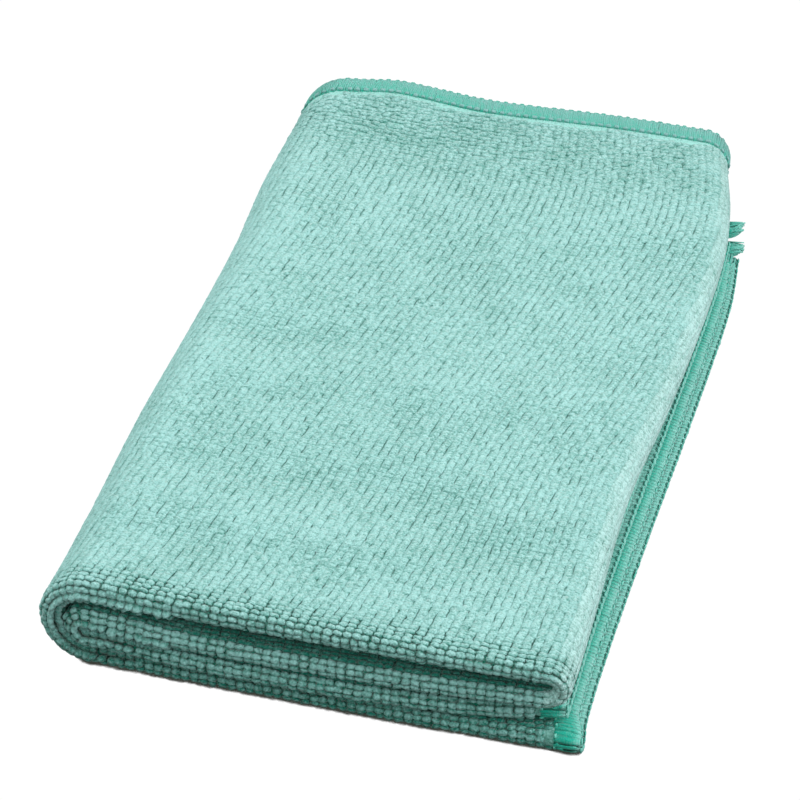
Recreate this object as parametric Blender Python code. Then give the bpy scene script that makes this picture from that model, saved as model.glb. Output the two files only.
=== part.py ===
"""A looped microfibre cleaning cloth, 400 x 350 mm, folded to eight layers.

The cloth is doubled over at the near end, which makes four noses there, and the
doubled cloth is then halved twice across, round two folds on the left and one on
the right. So one strip of doubled cloth runs as a chain of four panels: bottom,
round the outer fold, top, round the right fold, upper, round the inner fold, lower.
The bottom and the lower panel end at the right in a hemmed edge.

Frame: +X across the folded cloth, +Y away from the noses, +Z up, metres.
"""
import math

import bpy
import numpy as np

# Driving sizes of the cloth.
SHEET = 0.00165            # thickness over the pile
HEM_SHEET = 0.0019         # thickness over the overlocked edge
EDGE_SHEET = 0.0013        # thickness of the very edge
SEAM_SHEET = 0.0014        # thickness where the overlock's inner stitch line pulls in
HEM_WIDTH = 0.0050         # width of the overlocked band
DOUBLE_GAP = 0.00205       # from centre to centre of the two layers of a panel
HEM_DOUBLE_GAP = 0.0025    # the same at the hems, which are thicker
NOSE_REACH = 0.009         # how far back from the noses their fullness reaches

# The upper three doubled panels: height of the middle of the panel, for stations along
# the cloth, at four places across it. The bottom panel lies on the table.
ACROSS = (0.0, 0.25, 0.75, 1.0)
NEAR, MIDDLE, FAR_THIRD, FAR = -0.085, 0.0, 0.074, 0.088
PANELS = {
    #          station    left     quarter  3 quart. right
    "lower": ((NEAR, 0.0066, 0.00595, 0.0062, 0.0071),
              (MIDDLE, 0.0068, 0.0063, 0.0064, 0.0068),
              (FAR_THIRD, 0.0070, 0.0067, 0.0069, 0.0069),
              (FAR, 0.0072, 0.0070, 0.0070, 0.0069)),
    "upper": ((NEAR, 0.0115, 0.0102, 0.0105, 0.0114),
              (MIDDLE, 0.0117, 0.0109, 0.0110, 0.0112),
              (FAR_THIRD, 0.0119, 0.0114, 0.0115, 0.0114),
              (FAR, 0.0121, 0.0117, 0.0115, 0.0095)),
    "top": ((NEAR, 0.0173, 0.0171, 0.0173, 0.0175),
            (MIDDLE, 0.0172, 0.0167, 0.0168, 0.0170),
            (FAR_THIRD, 0.0171, 0.0165, 0.0166, 0.0169),
            (FAR, 0.0172, 0.0165, 0.0166, 0.0167)),
}

# The sides of the folded cloth, for stations along it.
EDGES = (
    # station   outer    inner    right    bottom   lower
    #           fold     fold     fold     hem      hem
    (-0.0860, -0.0509, -0.0461, 0.0487, 0.0508, 0.0474),
    (-0.0780, -0.0507, -0.0459, 0.0487, 0.0498, 0.0472),
    (-0.0600, -0.0505, -0.0457, 0.0480, 0.0494, 0.0467),
    (-0.0300, -0.0508, -0.0460, 0.0470, 0.0496, 0.0467),
    (0.0000, -0.0500, -0.0452, 0.0486, 0.0501, 0.0472),
    (0.0280, -0.0497, -0.0450, 0.0494, 0.0505, 0.0476),
    (0.0500, -0.0507, -0.0459, 0.0491, 0.0504, 0.0477),
    (0.0650, -0.0506, -0.0458, 0.0471, 0.0490, 0.0470),
    (0.0880, -0.0502, -0.0455, 0.0427, 0.0460, 0.0450),
)

# The far hem and the near noses: where they lie along Y, and how far apart a panel's two
# layers stand as they turn round its nose, for places along the chain.
ENDS = (
    # panel and share of it   far hem   noses    layers' gap
    ("bottom", 0.00, 0.0675, -0.0873, 0.0029),
    ("bottom", 0.12, 0.0745, -0.0874, 0.0028),
    ("bottom", 0.40, 0.0844, -0.0874, 0.0021),
    ("outer", 0.50, 0.0846, -0.0866, 0.0022),
    ("top", 0.00, 0.0863, -0.0868, 0.0027),
    ("top", 0.15, 0.0888, -0.0871, 0.0029),
    ("top", 0.40, 0.0871, -0.0874, 0.0027),
    ("top", 0.75, 0.0881, -0.0875, 0.0024),
    ("right", 0.00, 0.0878, -0.0874, 0.0022),
    ("right", 0.60, 0.0868, -0.0867, 0.0022),
    ("upper", 0.25, 0.0865, -0.0877, 0.0024),
    ("upper", 0.75, 0.0868, -0.0881, 0.0024),
    ("inner", 0.50, 0.0855, -0.0872, 0.0022),
    ("lower", 0.50, 0.0847, -0.0885, 0.0023),
    ("lower", 0.88, 0.0740, -0.0863, 0.0025),
    ("lower", 1.00, 0.0675, -0.0842, 0.0025),
)
HEM_STAGGER = 0.0012       # how far the second layer's hem stops short of the first's

# How finely the solid is cut up: pieces along each panel and fold, along a layer, round a nose.
STEPS = {"bottom": 8, "outer": 11, "top": 9, "right": 8, "upper": 8, "inner": 7, "lower": 8}
LAYER_STEPS = 8
NOSE_STEPS = 6
HEM_ROWS = (0.0, 0.0007, 0.0026, 0.0044, 0.0054, 0.0075)   # distances from a hem's edge
NEARBY = 0.002             # the share either way over which the chain's heading is taken
SETTLE = 0.00002           # how deep the underside is pressed flat on the table

CLOTH_GREEN = (0.33, 0.62, 0.55, 1.0)


def smooth(u):
    """From 0 to 1 with no slope at either end."""
    u = min(max(u, 0.0), 1.0)
    return u * u * (3.0 - 2.0 * u)


def curve_through(rows, at, column):
    """A column's value at a place in the first column, on a smooth curve through the rows.

    The curve is level at its two ends.
    """
    places = [row[0] for row in rows]
    at = min(max(at, places[0]), places[-1])
    i = min(max(np.searchsorted(places, at) - 1, 0), len(rows) - 2)
    span = places[i + 1] - places[i]
    start, end = rows[i][column], rows[i + 1][column]
    slope_in = slope_out = 0.0
    if i > 0:
        slope_in = (end - rows[i - 1][column]) / (places[i + 1] - places[i - 1]) * span
    if i < len(rows) - 2:
        slope_out = (rows[i + 2][column] - start) / (places[i + 2] - places[i]) * span
    u = (at - places[i]) / span
    return (
        (2 * u ** 3 - 3 * u ** 2 + 1) * start + (u ** 3 - 2 * u ** 2 + u) * slope_in
        + (3 * u ** 2 - 2 * u ** 3) * end + (u ** 3 - u ** 2) * slope_out
    )


def section(y, rest):
    """The section at y: each panel's heights and its two ends, and the folds' radii.

    rest is the height of the bottom panel's middle.
    """
    heights = {
        panel: [(place, curve_through(rows, y, k + 1)) for k, place in enumerate(ACROSS)]
        for panel, rows in PANELS.items()
    }
    heights["bottom"] = [(place, rest) for place in ACROSS]
    outer, inner, right, bottom_hem, lower_hem = (
        curve_through(EDGES, y, column) for column in range(1, 6)
    )
    half_panel = (DOUBLE_GAP + SHEET) / 2.0
    radius = {
        "outer": (heights["top"][0][1] - rest) / 2.0,
        "inner": (heights["upper"][0][1] - heights["lower"][0][1]) / 2.0,
        "right": (heights["top"][-1][1] - heights["upper"][-1][1]) / 2.0,
    }
    left_of_outer = outer + half_panel + radius["outer"]
    left_of_inner = inner + half_panel + radius["inner"]
    right_of_fold = right - half_panel - radius["right"]
    ends = {
        "bottom": (left_of_outer, bottom_hem),
        "top": (left_of_outer, right_of_fold),
        "upper": (left_of_inner, right_of_fold),
        "lower": (left_of_inner, lower_hem),
    }
    return heights, ends, radius


def chain_point(piece, share, heights, ends, radius):
    """A point (x, z) of the doubled cloth's middle, a share of the way along a panel or fold."""
    if piece in ends:
        left, right = ends[piece]
        leftward = piece in ("bottom", "upper")
        across = 1.0 - share if leftward else share
        return left + (right - left) * across, curve_through(heights[piece], across, 1)
    turn = math.pi * share
    out, up = radius[piece] * math.sin(turn), radius[piece] * math.cos(turn)
    if piece == "right":
        middle = (heights["top"][-1][1] + heights["upper"][-1][1]) / 2.0
        return ends["top"][1] + out, middle + up
    if piece == "outer":
        middle = (heights["top"][0][1] + heights["bottom"][0][1]) / 2.0
        return ends["top"][0] - out, middle - up
    middle = (heights["upper"][0][1] + heights["lower"][0][1]) / 2.0
    return ends["upper"][0] - out, middle + up


CHAIN = ("bottom", "outer", "top", "right", "upper", "inner", "lower")


def chain_stations():
    """The stations along the chain: (piece, share, distance from the nearer hemmed edge)."""
    length = 0.08                                 # about one panel, for the hem rows' shares
    far_from_hem = 1.0
    stations = []
    for piece in CHAIN:
        steps = STEPS[piece]
        shares = [k / steps for k in range(steps)]
        distances = [far_from_hem] * steps
        if piece == "bottom":
            start = HEM_ROWS[-1] / length
            shares = [row / length for row in HEM_ROWS[:-1]]
            shares += [start + (1.0 - start) * k / steps for k in range(steps)]
            distances = list(HEM_ROWS) + [far_from_hem] * (steps - 1)
        if piece == "lower":
            end = 1.0 - HEM_ROWS[-1] / length
            shares = [end * k / steps for k in range(steps)]
            shares += [1.0 - row / length for row in reversed(HEM_ROWS)]
            distances = [far_from_hem] * steps + list(reversed(HEM_ROWS))
        stations += [(piece, share, far) for share, far in zip(shares, distances)]
    return stations


def ends_at(piece, share):
    """Where the far hem and the noses lie along Y, and the layers' gap there."""
    rows = [(CHAIN.index(name) + part, *values) for name, part, *values in ENDS]
    at = CHAIN.index(piece) + share
    return [curve_through(rows, at, column) for column in (1, 2, 3)]


def run_of_cloth(far, near, nose_gap):
    """One strip along Y: out along the first layer, round the nose, back along the second.

    Gives (y, side, distance from the far hem, distance from the nose's turn) for each row,
    where side runs from 1 on the first layer to -1 on the second.
    """
    turn_y = near + (SHEET + nose_gap) / 2.0
    first, second = far, far - HEM_STAGGER
    inland = 1.0                                  # far from any hem
    rows = [(first - d, 1.0, d) for d in HEM_ROWS]
    start = first - HEM_ROWS[-1]
    rows += [
        (start + (turn_y - start) * k / LAYER_STEPS, 1.0, inland)
        for k in range(1, LAYER_STEPS + 1)
    ]
    for k in range(1, NOSE_STEPS):
        turn = math.pi * k / NOSE_STEPS
        rows.append((turn_y - nose_gap / 2.0 * math.sin(turn), math.cos(turn), inland))
    end = second - HEM_ROWS[-1]
    rows += [
        (turn_y + (end - turn_y) * k / LAYER_STEPS, -1.0, inland)
        for k in range(0, LAYER_STEPS)
    ]
    rows += [(second - d, -1.0, d) for d in reversed(HEM_ROWS)]
    return [(y, side, from_far, max(y - turn_y, 0.0)) for y, side, from_far in rows]


def layers_gap(edge, from_nose, nose_gap):
    """From centre to centre of a panel's two layers."""
    at_hem = (HEM_DOUBLE_GAP - DOUBLE_GAP) * (1.0 - smooth(edge / (2.0 * HEM_WIDTH)))
    at_nose = (nose_gap - DOUBLE_GAP) * (1.0 - smooth(from_nose / NOSE_REACH))
    return DOUBLE_GAP + max(at_hem, at_nose)


def thickness(edge):
    """Thickness of the cloth at a distance from its nearest edge."""
    profile = (
        (0.0, EDGE_SHEET), (0.14, 0.5 * (EDGE_SHEET + HEM_SHEET)), (0.5, HEM_SHEET),
        (0.9, HEM_SHEET), (1.08, SEAM_SHEET), (1.5, SHEET), (2.0, SHEET),
    )
    widths = [share * HEM_WIDTH for share, _ in profile]
    return float(np.interp(edge, widths, [value for _, value in profile]))


def middle_surface():
    """The grid of points on the cloth's own middle surface, and its thickness at each."""
    points, thick = [], []
    for piece, share, from_side in chain_stations():
        far, near, nose_gap = ends_at(piece, share)
        line, line_thick = [], []
        for y, side, from_far, from_nose in run_of_cloth(far, near, nose_gap):
            edge = min(from_side, from_far)
            gap = layers_gap(edge, from_nose, nose_gap)
            rest = (gap + thickness(edge)) / 2.0 - SETTLE
            parts = section(y, rest)
            x, z = chain_point(piece, share, *parts)
            before = chain_point(piece, share - NEARBY, *parts)
            after = chain_point(piece, share + NEARBY, *parts)
            heading = np.array((after[0] - before[0], after[1] - before[1]))
            heading /= np.hypot(*heading)
            outward = np.array((-heading[1], heading[0]))     # to the left of the heading
            offset = outward * gap / 2.0 * side
            line.append((x + offset[0], y, z + offset[1]))
            line_thick.append(thickness(edge))
        points.append(line)
        thick.append(line_thick)
    return np.array(points), np.array(thick)


def build_cloth():
    """Thickens the middle surface into one closed solid, flat where it lies on the table.

    The origin is put under the middle of its box.
    """
    middle, thick = middle_surface()
    along = np.gradient(middle, axis=0)
    down = np.gradient(middle, axis=1)
    normal = np.cross(along, down)
    normal /= np.linalg.norm(normal, axis=2, keepdims=True)
    half = normal * thick[:, :, None] / 2.0
    faces_out = middle + half, middle - half
    columns, rows = middle.shape[:2]
    points = np.concatenate([side.reshape(-1, 3) for side in faces_out])
    points[:, 2] = np.maximum(points[:, 2], 0.0)
    across_and_along = points[:, :2]
    across_and_along -= (across_and_along.max(axis=0) + across_and_along.min(axis=0)) / 2.0
    other = columns * rows

    def at(i, j):
        return i * rows + j

    faces = []
    for i in range(columns - 1):
        for j in range(rows - 1):
            quad = (at(i, j), at(i + 1, j), at(i + 1, j + 1), at(i, j + 1))
            faces.append(quad)
            faces.append(tuple(other + k for k in reversed(quad)))
    rim = [at(i, 0) for i in range(columns)]
    rim += [at(columns - 1, j) for j in range(1, rows)]
    rim += [at(i, rows - 1) for i in range(columns - 2, -1, -1)]
    rim += [at(0, j) for j in range(rows - 2, 0, -1)]
    for k, a in enumerate(rim):
        b = rim[(k + 1) % len(rim)]
        faces.append((a, other + a, other + b, b))
    return points, faces


def cloth_material():
    material = bpy.data.materials.new("microfibre")
    material.use_nodes = True
    shader = material.node_tree.nodes["Principled BSDF"]
    shader.inputs["Base Color"].default_value = CLOTH_GREEN
    shader.inputs["Roughness"].default_value = 0.95
    shader.inputs["Metallic"].default_value = 0.0
    return material


for thing in list(bpy.data.objects):
    bpy.data.objects.remove(thing)

points, faces = build_cloth()
mesh = bpy.data.meshes.new("cloth")
mesh.from_pydata([tuple(p) for p in points], [], faces)
mesh.materials.append(cloth_material())
mesh.shade_smooth()
mesh.set_sharp_from_angle(angle=math.radians(50.0))
cloth = bpy.data.objects.new("cloth", mesh)
bpy.context.scene.collection.objects.link(cloth)
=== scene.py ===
"""The looks of a looped microfibre cloth, folded to eight layers, with overlocked edges.

Metres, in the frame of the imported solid: +X across the folded cloth, +Y away from its
doubled near end, +Z up.
"""
import math

import bpy
import numpy as np
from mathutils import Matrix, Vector


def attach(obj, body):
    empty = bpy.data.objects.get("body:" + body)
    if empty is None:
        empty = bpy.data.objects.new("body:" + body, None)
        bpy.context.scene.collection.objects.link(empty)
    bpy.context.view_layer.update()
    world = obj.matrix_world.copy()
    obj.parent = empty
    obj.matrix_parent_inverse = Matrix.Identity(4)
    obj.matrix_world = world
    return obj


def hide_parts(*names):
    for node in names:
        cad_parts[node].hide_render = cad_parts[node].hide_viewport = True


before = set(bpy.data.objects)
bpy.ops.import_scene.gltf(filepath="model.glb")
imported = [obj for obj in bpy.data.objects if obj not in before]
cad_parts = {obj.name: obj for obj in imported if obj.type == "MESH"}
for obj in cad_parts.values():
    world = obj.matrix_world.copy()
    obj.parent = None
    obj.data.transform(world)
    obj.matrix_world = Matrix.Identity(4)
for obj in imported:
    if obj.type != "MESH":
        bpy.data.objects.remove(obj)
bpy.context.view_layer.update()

# ---- The camera -------------------------------------------------------------------------
# A long lens above the cloth's near right corner, at the photo's viewing angle. The angles
# and the distance come from the cloth's outline in the photo.
AZIMUTH = math.radians(15.3)
ELEVATION = math.radians(38.2)
CAMERA_DISTANCE = 0.719
AIM = Vector((-0.00384, -0.0082, 0.0100))
LENS_MM = 165.6
SENSOR_WIDTH_MM = 36.0
NEAREST_SEEN = 0.01        # the camera shows nothing nearer than this
line_of_sight = Vector((
    -math.sin(AZIMUTH) * math.cos(ELEVATION),
    math.cos(AZIMUTH) * math.cos(ELEVATION),
    -math.sin(ELEVATION),
))
bpy.ops.object.camera_add(location=AIM - CAMERA_DISTANCE * line_of_sight)
camera = bpy.context.object
camera.rotation_euler = line_of_sight.to_track_quat("-Z", "Y").to_euler()
camera.data.sensor_width = SENSOR_WIDTH_MM
camera.data.lens = LENS_MM
camera.data.clip_start = NEAREST_SEEN
bpy.context.scene.camera = camera

# ---- The studio -------------------------------------------------------------------------
# A plain white floor, one large soft light above and in front of the cloth, two smaller ones
# to its right and left, and a weak greenish light all round. A thin dark line of painted
# shadow shows on the floor where the cloth's near side touches it.
FLOOR_SIZE = 6.0
FLOOR_LEVEL = -0.0001      # just under the cloth
FLOOR_GLOW = 1.02          # the floor itself is seen as plain white
FLOOR_BOUNCE = 0.02        # how much light the floor sends back to the cloth
LIGHTS = (
    # place, size, power
    ((0.18, -0.58, 0.74), 1.40, 6.9),
    ((0.85, 0.15, 0.42), 0.50, 7.4),
    ((-0.80, 0.30, 0.50), 0.50, 7.2),
)
ROUND_LIGHT = 0.31
ROUND_TINT = (0.32, 1.0, 0.74, 1.0)
# That painted shadow line: how far it reaches, which way the cloth stands from it, and how
# much of that way is open where it is darkest and where it ends.
CONTACT = 0.0012
CONTACT_SIDE = (0.0, 0.55, 0.835)
CONTACT_OPEN = (0.36, 0.44)
CONTACT_SHADOW_COLOUR = (0.042, 0.046, 0.038, 1.0)
CONTACT_RAYS = 24


def add_node(tree, kind, inputs=None, **settings):
    """A node with its settings, and its inputs set or linked, by name or by place."""
    node = tree.nodes.new(kind)
    for key, value in settings.items():
        setattr(node, key, value)
    for key, value in (inputs or {}).items():
        if isinstance(value, bpy.types.NodeSocket):
            tree.links.new(value, node.inputs[key])
        else:
            node.inputs[key].default_value = value
    return node


bpy.ops.mesh.primitive_plane_add(size=FLOOR_SIZE, location=(0.0, 0.0, FLOOR_LEVEL))
floor = bpy.context.object
floor.name = "floor"
floor_paint = bpy.data.materials.new("floor_paint")
floor_paint.use_nodes = True
tree = floor_paint.node_tree
dull = add_node(tree, "ShaderNodeBsdfDiffuse", {"Color": (FLOOR_BOUNCE,) * 3 + (1.0,)})
# The floor's white turns to the painted contact shadow where the cloth stands close by.
facing = add_node(tree, "ShaderNodeCombineXYZ", dict(enumerate(CONTACT_SIDE)))
covered = add_node(tree, "ShaderNodeAmbientOcclusion", {
    "Distance": CONTACT, "Normal": facing.outputs["Vector"],
}, samples=CONTACT_RAYS)
clear = add_node(tree, "ShaderNodeMapRange", {
    "Value": covered.outputs["AO"], "From Min": CONTACT_OPEN[0], "From Max": CONTACT_OPEN[1],
})
shadow_to_white = add_node(tree, "ShaderNodeMix", {
    0: clear.outputs[0], 6: CONTACT_SHADOW_COLOUR, 7: (1.0, 1.0, 1.0, 1.0),
}, data_type="RGBA")
glow = add_node(tree, "ShaderNodeEmission", {"Color": shadow_to_white.outputs[2], "Strength": FLOOR_GLOW})
seen = add_node(tree, "ShaderNodeLightPath")
either = add_node(tree, "ShaderNodeMixShader", {
    0: seen.outputs["Is Camera Ray"], 1: dull.outputs[0], 2: glow.outputs[0],
})
tree.links.new(either.outputs[0], tree.nodes["Material Output"].inputs["Surface"])
floor.data.materials.append(floor_paint)

for place, size, power in LIGHTS:
    bpy.ops.object.light_add(type="AREA", location=place)
    light = bpy.context.object
    light.data.size = size
    light.data.energy = power
    light.rotation_euler = (-Vector(place)).to_track_quat("-Z", "Y").to_euler()

world = bpy.data.worlds.new("studio")
world.use_nodes = True
world.node_tree.nodes["Background"].inputs["Color"].default_value = ROUND_TINT
world.node_tree.nodes["Background"].inputs["Strength"].default_value = ROUND_LIGHT
bpy.context.scene.world = world
bpy.context.scene.view_settings.view_transform = "Standard"

# ---- The cloth --------------------------------------------------------------------------
# One sheet of warp-knit microfibre, 400 x 350 mm. It is doubled over at the near end, which
# makes the four noses there, and the doubled cloth is halved twice across: bottom, round
# the outer fold, top, round the right fold, upper, round the inner fold, lower.
SHEET = 0.00165            # thickness over the pile
HEM_SHEET = 0.0019         # thickness over the overlocked edge
EDGE_SHEET = 0.0013        # thickness of the very edge
EDGE_ROUND = 0.0005        # how far in from the edge the hem is rounded
HEM_WIDTH = 0.0050         # width of the overlocked band
PILE_START = 0.0075        # from here in, the sheet is as thick as its pile
DOUBLE_GAP = 0.00205       # from centre to centre of the two layers of a panel
HEM_DOUBLE_GAP = 0.0025    # the same at the hems, which are thicker
NOSE_REACH = 0.009         # how far back from the noses their fullness reaches
HEM_STAGGER = 0.0012       # how far the second layer's far hem stops short of the first's
SIDE_STAGGER = 0.0012      # the same at the side hems, whose lower layer sticks out
SETTLE = 0.00002           # how deep the underside is pressed flat on the table
NEARBY = 0.002             # the share either way over which the chain's heading is taken

# The upper three doubled panels: height of the middle of the panel, for stations along the
# cloth, at four places across it. The bottom panel lies on the table.
ACROSS = (0.0, 0.25, 0.75, 1.0)
NEAR, MIDDLE, FAR_THIRD, FAR = -0.085, 0.0, 0.074, 0.088
PANELS = {
    #          station    left     quarter  3 quart. right
    "lower": ((NEAR, 0.0066, 0.00595, 0.0062, 0.0071),
              (MIDDLE, 0.0068, 0.0063, 0.0064, 0.0068),
              (FAR_THIRD, 0.0070, 0.0067, 0.0069, 0.0069),
              (FAR, 0.0072, 0.0070, 0.0070, 0.0069)),
    "upper": ((NEAR, 0.0115, 0.0102, 0.0105, 0.0114),
              (MIDDLE, 0.0117, 0.0109, 0.0110, 0.0112),
              (FAR_THIRD, 0.0119, 0.0114, 0.0115, 0.0114),
              (FAR, 0.0121, 0.0117, 0.0115, 0.0095)),
    "top": ((NEAR, 0.0173, 0.0171, 0.0173, 0.0175),
            (MIDDLE, 0.0172, 0.0167, 0.0168, 0.0170),
            (FAR_THIRD, 0.0171, 0.0165, 0.0166, 0.0169),
            (FAR, 0.0172, 0.0165, 0.0166, 0.0167)),
}
# The sides of the folded cloth, for stations along it.
EDGES = (
    # station   outer    inner    right    bottom   lower
    #           fold     fold     fold     hem      hem
    (-0.0860, -0.0509, -0.0461, 0.0487, 0.0508, 0.0474),
    (-0.0780, -0.0507, -0.0459, 0.0487, 0.0498, 0.0472),
    (-0.0600, -0.0505, -0.0457, 0.0480, 0.0494, 0.0467),
    (-0.0300, -0.0508, -0.0460, 0.0470, 0.0496, 0.0467),
    (0.0000, -0.0500, -0.0452, 0.0486, 0.0501, 0.0472),
    (0.0280, -0.0497, -0.0450, 0.0494, 0.0505, 0.0476),
    (0.0500, -0.0507, -0.0459, 0.0491, 0.0504, 0.0477),
    (0.0650, -0.0506, -0.0458, 0.0471, 0.0490, 0.0470),
    (0.0880, -0.0502, -0.0455, 0.0427, 0.0460, 0.0450),
)
# The far hem and the near noses: where they lie along Y, and how far apart a panel's two
# layers stand as they turn round its nose, for places along the chain.
ENDS = (
    # panel and share of it   far hem   noses    layers' gap
    ("bottom", 0.00, 0.0675, -0.0873, 0.0029),
    ("bottom", 0.12, 0.0745, -0.0874, 0.0028),
    ("bottom", 0.40, 0.0844, -0.0874, 0.0021),
    ("outer", 0.50, 0.0846, -0.0866, 0.0022),
    ("top", 0.00, 0.0863, -0.0868, 0.0027),
    ("top", 0.15, 0.0888, -0.0871, 0.0029),
    ("top", 0.40, 0.0871, -0.0874, 0.0027),
    ("top", 0.75, 0.0881, -0.0875, 0.0024),
    ("right", 0.00, 0.0878, -0.0874, 0.0022),
    ("right", 0.60, 0.0868, -0.0867, 0.0022),
    ("upper", 0.25, 0.0865, -0.0877, 0.0024),
    ("upper", 0.75, 0.0868, -0.0881, 0.0024),
    ("inner", 0.50, 0.0855, -0.0872, 0.0022),
    ("lower", 0.50, 0.0847, -0.0885, 0.0023),
    ("lower", 0.88, 0.0740, -0.0863, 0.0025),
    ("lower", 1.00, 0.0675, -0.0842, 0.0025),
)
CHAIN = ("bottom", "outer", "top", "right", "upper", "inner", "lower")
BOTTOM, OUTER, TOP, RIGHT, UPPER, INNER, LOWER, END = range(len(CHAIN) + 1)
FIRST, SECOND = -1.0, 1.0  # the two layers of the doubled cloth
ENDS_ON_CHAIN = [(CHAIN.index(panel) + share, *ends) for panel, share, *ends in ENDS]
PANEL_LENGTH = 0.0917      # of the bottom and the lower panel, as far as their hems


def smooth(u):
    """From 0 to 1 with no slope at either end."""
    u = np.clip(u, 0.0, 1.0)
    return u * u * (3.0 - 2.0 * u)


def ramp(value, start, blend):
    """From 0 at start to 1 a blend further on, or further back with a blend below 0."""
    return smooth((value - start) / blend)


def curve_through(places, values, at):
    """The values at places, on a smooth curve through the rows, level at its two ends.

    values holds one number for each place, or one array like at for each place.
    """
    places, values = np.asarray(places), np.asarray(values)
    at = np.clip(at, places[0], places[-1])
    i = np.clip(np.searchsorted(places, at) - 1, 0, len(places) - 2)

    def row(k):
        k = np.clip(k, 0, len(places) - 1)
        return values[k] if values.ndim == 1 else np.take_along_axis(values, k[None], 0)[0]

    def place(k):
        return places[np.clip(k, 0, len(places) - 1)]

    span = place(i + 1) - place(i)
    start, end = row(i), row(i + 1)
    slope_in = np.where(i > 0, (end - row(i - 1)) / (place(i + 1) - place(i - 1)) * span, 0.0)
    slope_out = np.where(
        i < len(places) - 2, (row(i + 2) - start) / (place(i + 2) - place(i)) * span, 0.0
    )
    u = (at - place(i)) / span
    return (
        (2 * u ** 3 - 3 * u ** 2 + 1) * start + (u ** 3 - 2 * u ** 2 + u) * slope_in
        + (3 * u ** 2 - 2 * u ** 3) * end + (u ** 3 - u ** 2) * slope_out
    )


def columns_at(rows, at):
    """The columns of a table but its first, each on a smooth curve through the first's places."""
    places, *columns = zip(*rows)
    return [curve_through(places, column, at) for column in columns]


def strip_ends(chain):
    """Where the far hem lies along Y, where the nose's turn starts, and the turn's radius."""
    far, near, nose_gap = columns_at(ENDS_ON_CHAIN, chain)
    return far, near + (SHEET + nose_gap) / 2.0, nose_gap / 2.0


def reach(chain, layer):
    """How far the cloth runs from the tip of its nose to its far hem; layer is FIRST or SECOND."""
    far, turn_y, radius = strip_ends(chain)
    return math.pi / 2.0 * radius + far - turn_y - np.where(layer > 0, HEM_STAGGER, 0.0)


def from_side(chain):
    """Distance from the nearer one of the two side hems' edges."""
    return PANEL_LENGTH * np.minimum(chain, END - chain)


def from_edge(chain, run):
    """Distance from the cloth's nearest edge."""
    return np.minimum(from_side(chain), reach(chain, run) - np.abs(run))


def profile(edge, rows):
    """A value at a distance from the edge, in between the rows of (distance, value)."""
    return np.interp(edge, *zip(*rows))


THICKNESS = (
    # from the edge, thickness of the cloth
    (0.0, EDGE_SHEET), (EDGE_ROUND, HEM_SHEET), (HEM_WIDTH, HEM_SHEET), (PILE_START, SHEET),
)


def fold(chain, run):
    """Points on the middle of the sheet, as it lies folded.

    chain runs from 0 at the bottom panel's hem to 7 at the lower panel's, one for each
    panel or fold. run is the distance from the nose's tip, below 0 on the first layer
    (the outside of the top, the outer and the right fold) and above 0 on the second.
    """
    chain, run = np.broadcast_arrays(np.asarray(chain, float), np.asarray(run, float))
    far, turn_y, radius = strip_ends(chain)
    turn = np.clip(math.pi / 2.0 + run / radius, 0.0, math.pi)
    y = turn_y - radius * np.sin(turn) + np.maximum(np.abs(run) - math.pi / 2.0 * radius, 0.0)
    edge = from_edge(chain, run)
    at_hem = (HEM_DOUBLE_GAP - DOUBLE_GAP) * (1.0 - smooth(edge / (2.0 * HEM_WIDTH)))
    at_nose = (2.0 * radius - DOUBLE_GAP) * (1.0 - smooth((y - turn_y) / NOSE_REACH))
    gap = DOUBLE_GAP + np.maximum(at_hem, at_nose)
    rest = (gap + profile(edge, THICKNESS)) / 2.0 - SETTLE

    heights = {panel: np.stack(columns_at(rows, y)) for panel, rows in PANELS.items()}
    heights["bottom"] = np.stack([rest] * len(ACROSS))
    outer, inner, right, bottom_hem, lower_hem = columns_at(EDGES, y)
    bottom_hem = bottom_hem - SIDE_STAGGER * smooth(run / NOSE_REACH)
    lower_hem = lower_hem - SIDE_STAGGER * smooth(-run / NOSE_REACH)
    half_panel = (DOUBLE_GAP + SHEET) / 2.0
    outer_radius = (heights["top"][0] - rest) / 2.0
    inner_radius = (heights["upper"][0] - heights["lower"][0]) / 2.0
    right_radius = (heights["top"][-1] - heights["upper"][-1]) / 2.0
    left_of_outer = outer + half_panel + outer_radius
    left_of_inner = inner + half_panel + inner_radius
    right_of_fold = right - half_panel - right_radius
    panels = {
        "bottom": (left_of_outer, bottom_hem), "top": (left_of_outer, right_of_fold),
        "upper": (left_of_inner, right_of_fold), "lower": (left_of_inner, lower_hem),
    }
    # For each fold: where it turns, its radius, which way it bulges and which way it starts.
    folds = {
        "outer": (left_of_outer, heights["top"][0] + rest, outer_radius, -1.0, -1.0),
        "right": (right_of_fold, heights["top"][-1] + heights["upper"][-1], right_radius, 1.0, 1.0),
        "inner": (left_of_inner, heights["upper"][0] + heights["lower"][0], inner_radius, -1.0, 1.0),
    }
    piece = np.clip(np.floor(chain), BOTTOM, LOWER).astype(int)

    def panel_middle(shift):
        """x and z of the doubled cloth's middle, shifted by a share of a panel or fold."""
        x, z = np.zeros_like(chain), np.zeros_like(chain)
        for k, name in enumerate(CHAIN):
            here = piece == k
            share = (chain - k + shift)[here]
            if name in panels:
                left, end = (side[here] for side in panels[name])
                across = 1.0 - share if name in ("bottom", "upper") else share
                x[here] = left + (end - left) * across
                z[here] = curve_through(ACROSS, heights[name][:, here], across)
            else:
                turn_x, both, bend, bulge, start = folds[name]
                x[here] = turn_x[here] + bulge * bend[here] * np.sin(math.pi * share)
                z[here] = both[here] / 2.0 + start * bend[here] * np.cos(math.pi * share)
        return x, z

    x, z = panel_middle(0.0)
    before, after = panel_middle(-NEARBY), panel_middle(NEARBY)
    heading_x, heading_z = after[0] - before[0], after[1] - before[1]
    offset = gap / 2.0 * np.cos(turn) / np.hypot(heading_x, heading_z)
    return np.stack([x - heading_z * offset, y, z + heading_x * offset], axis=-1)


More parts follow.
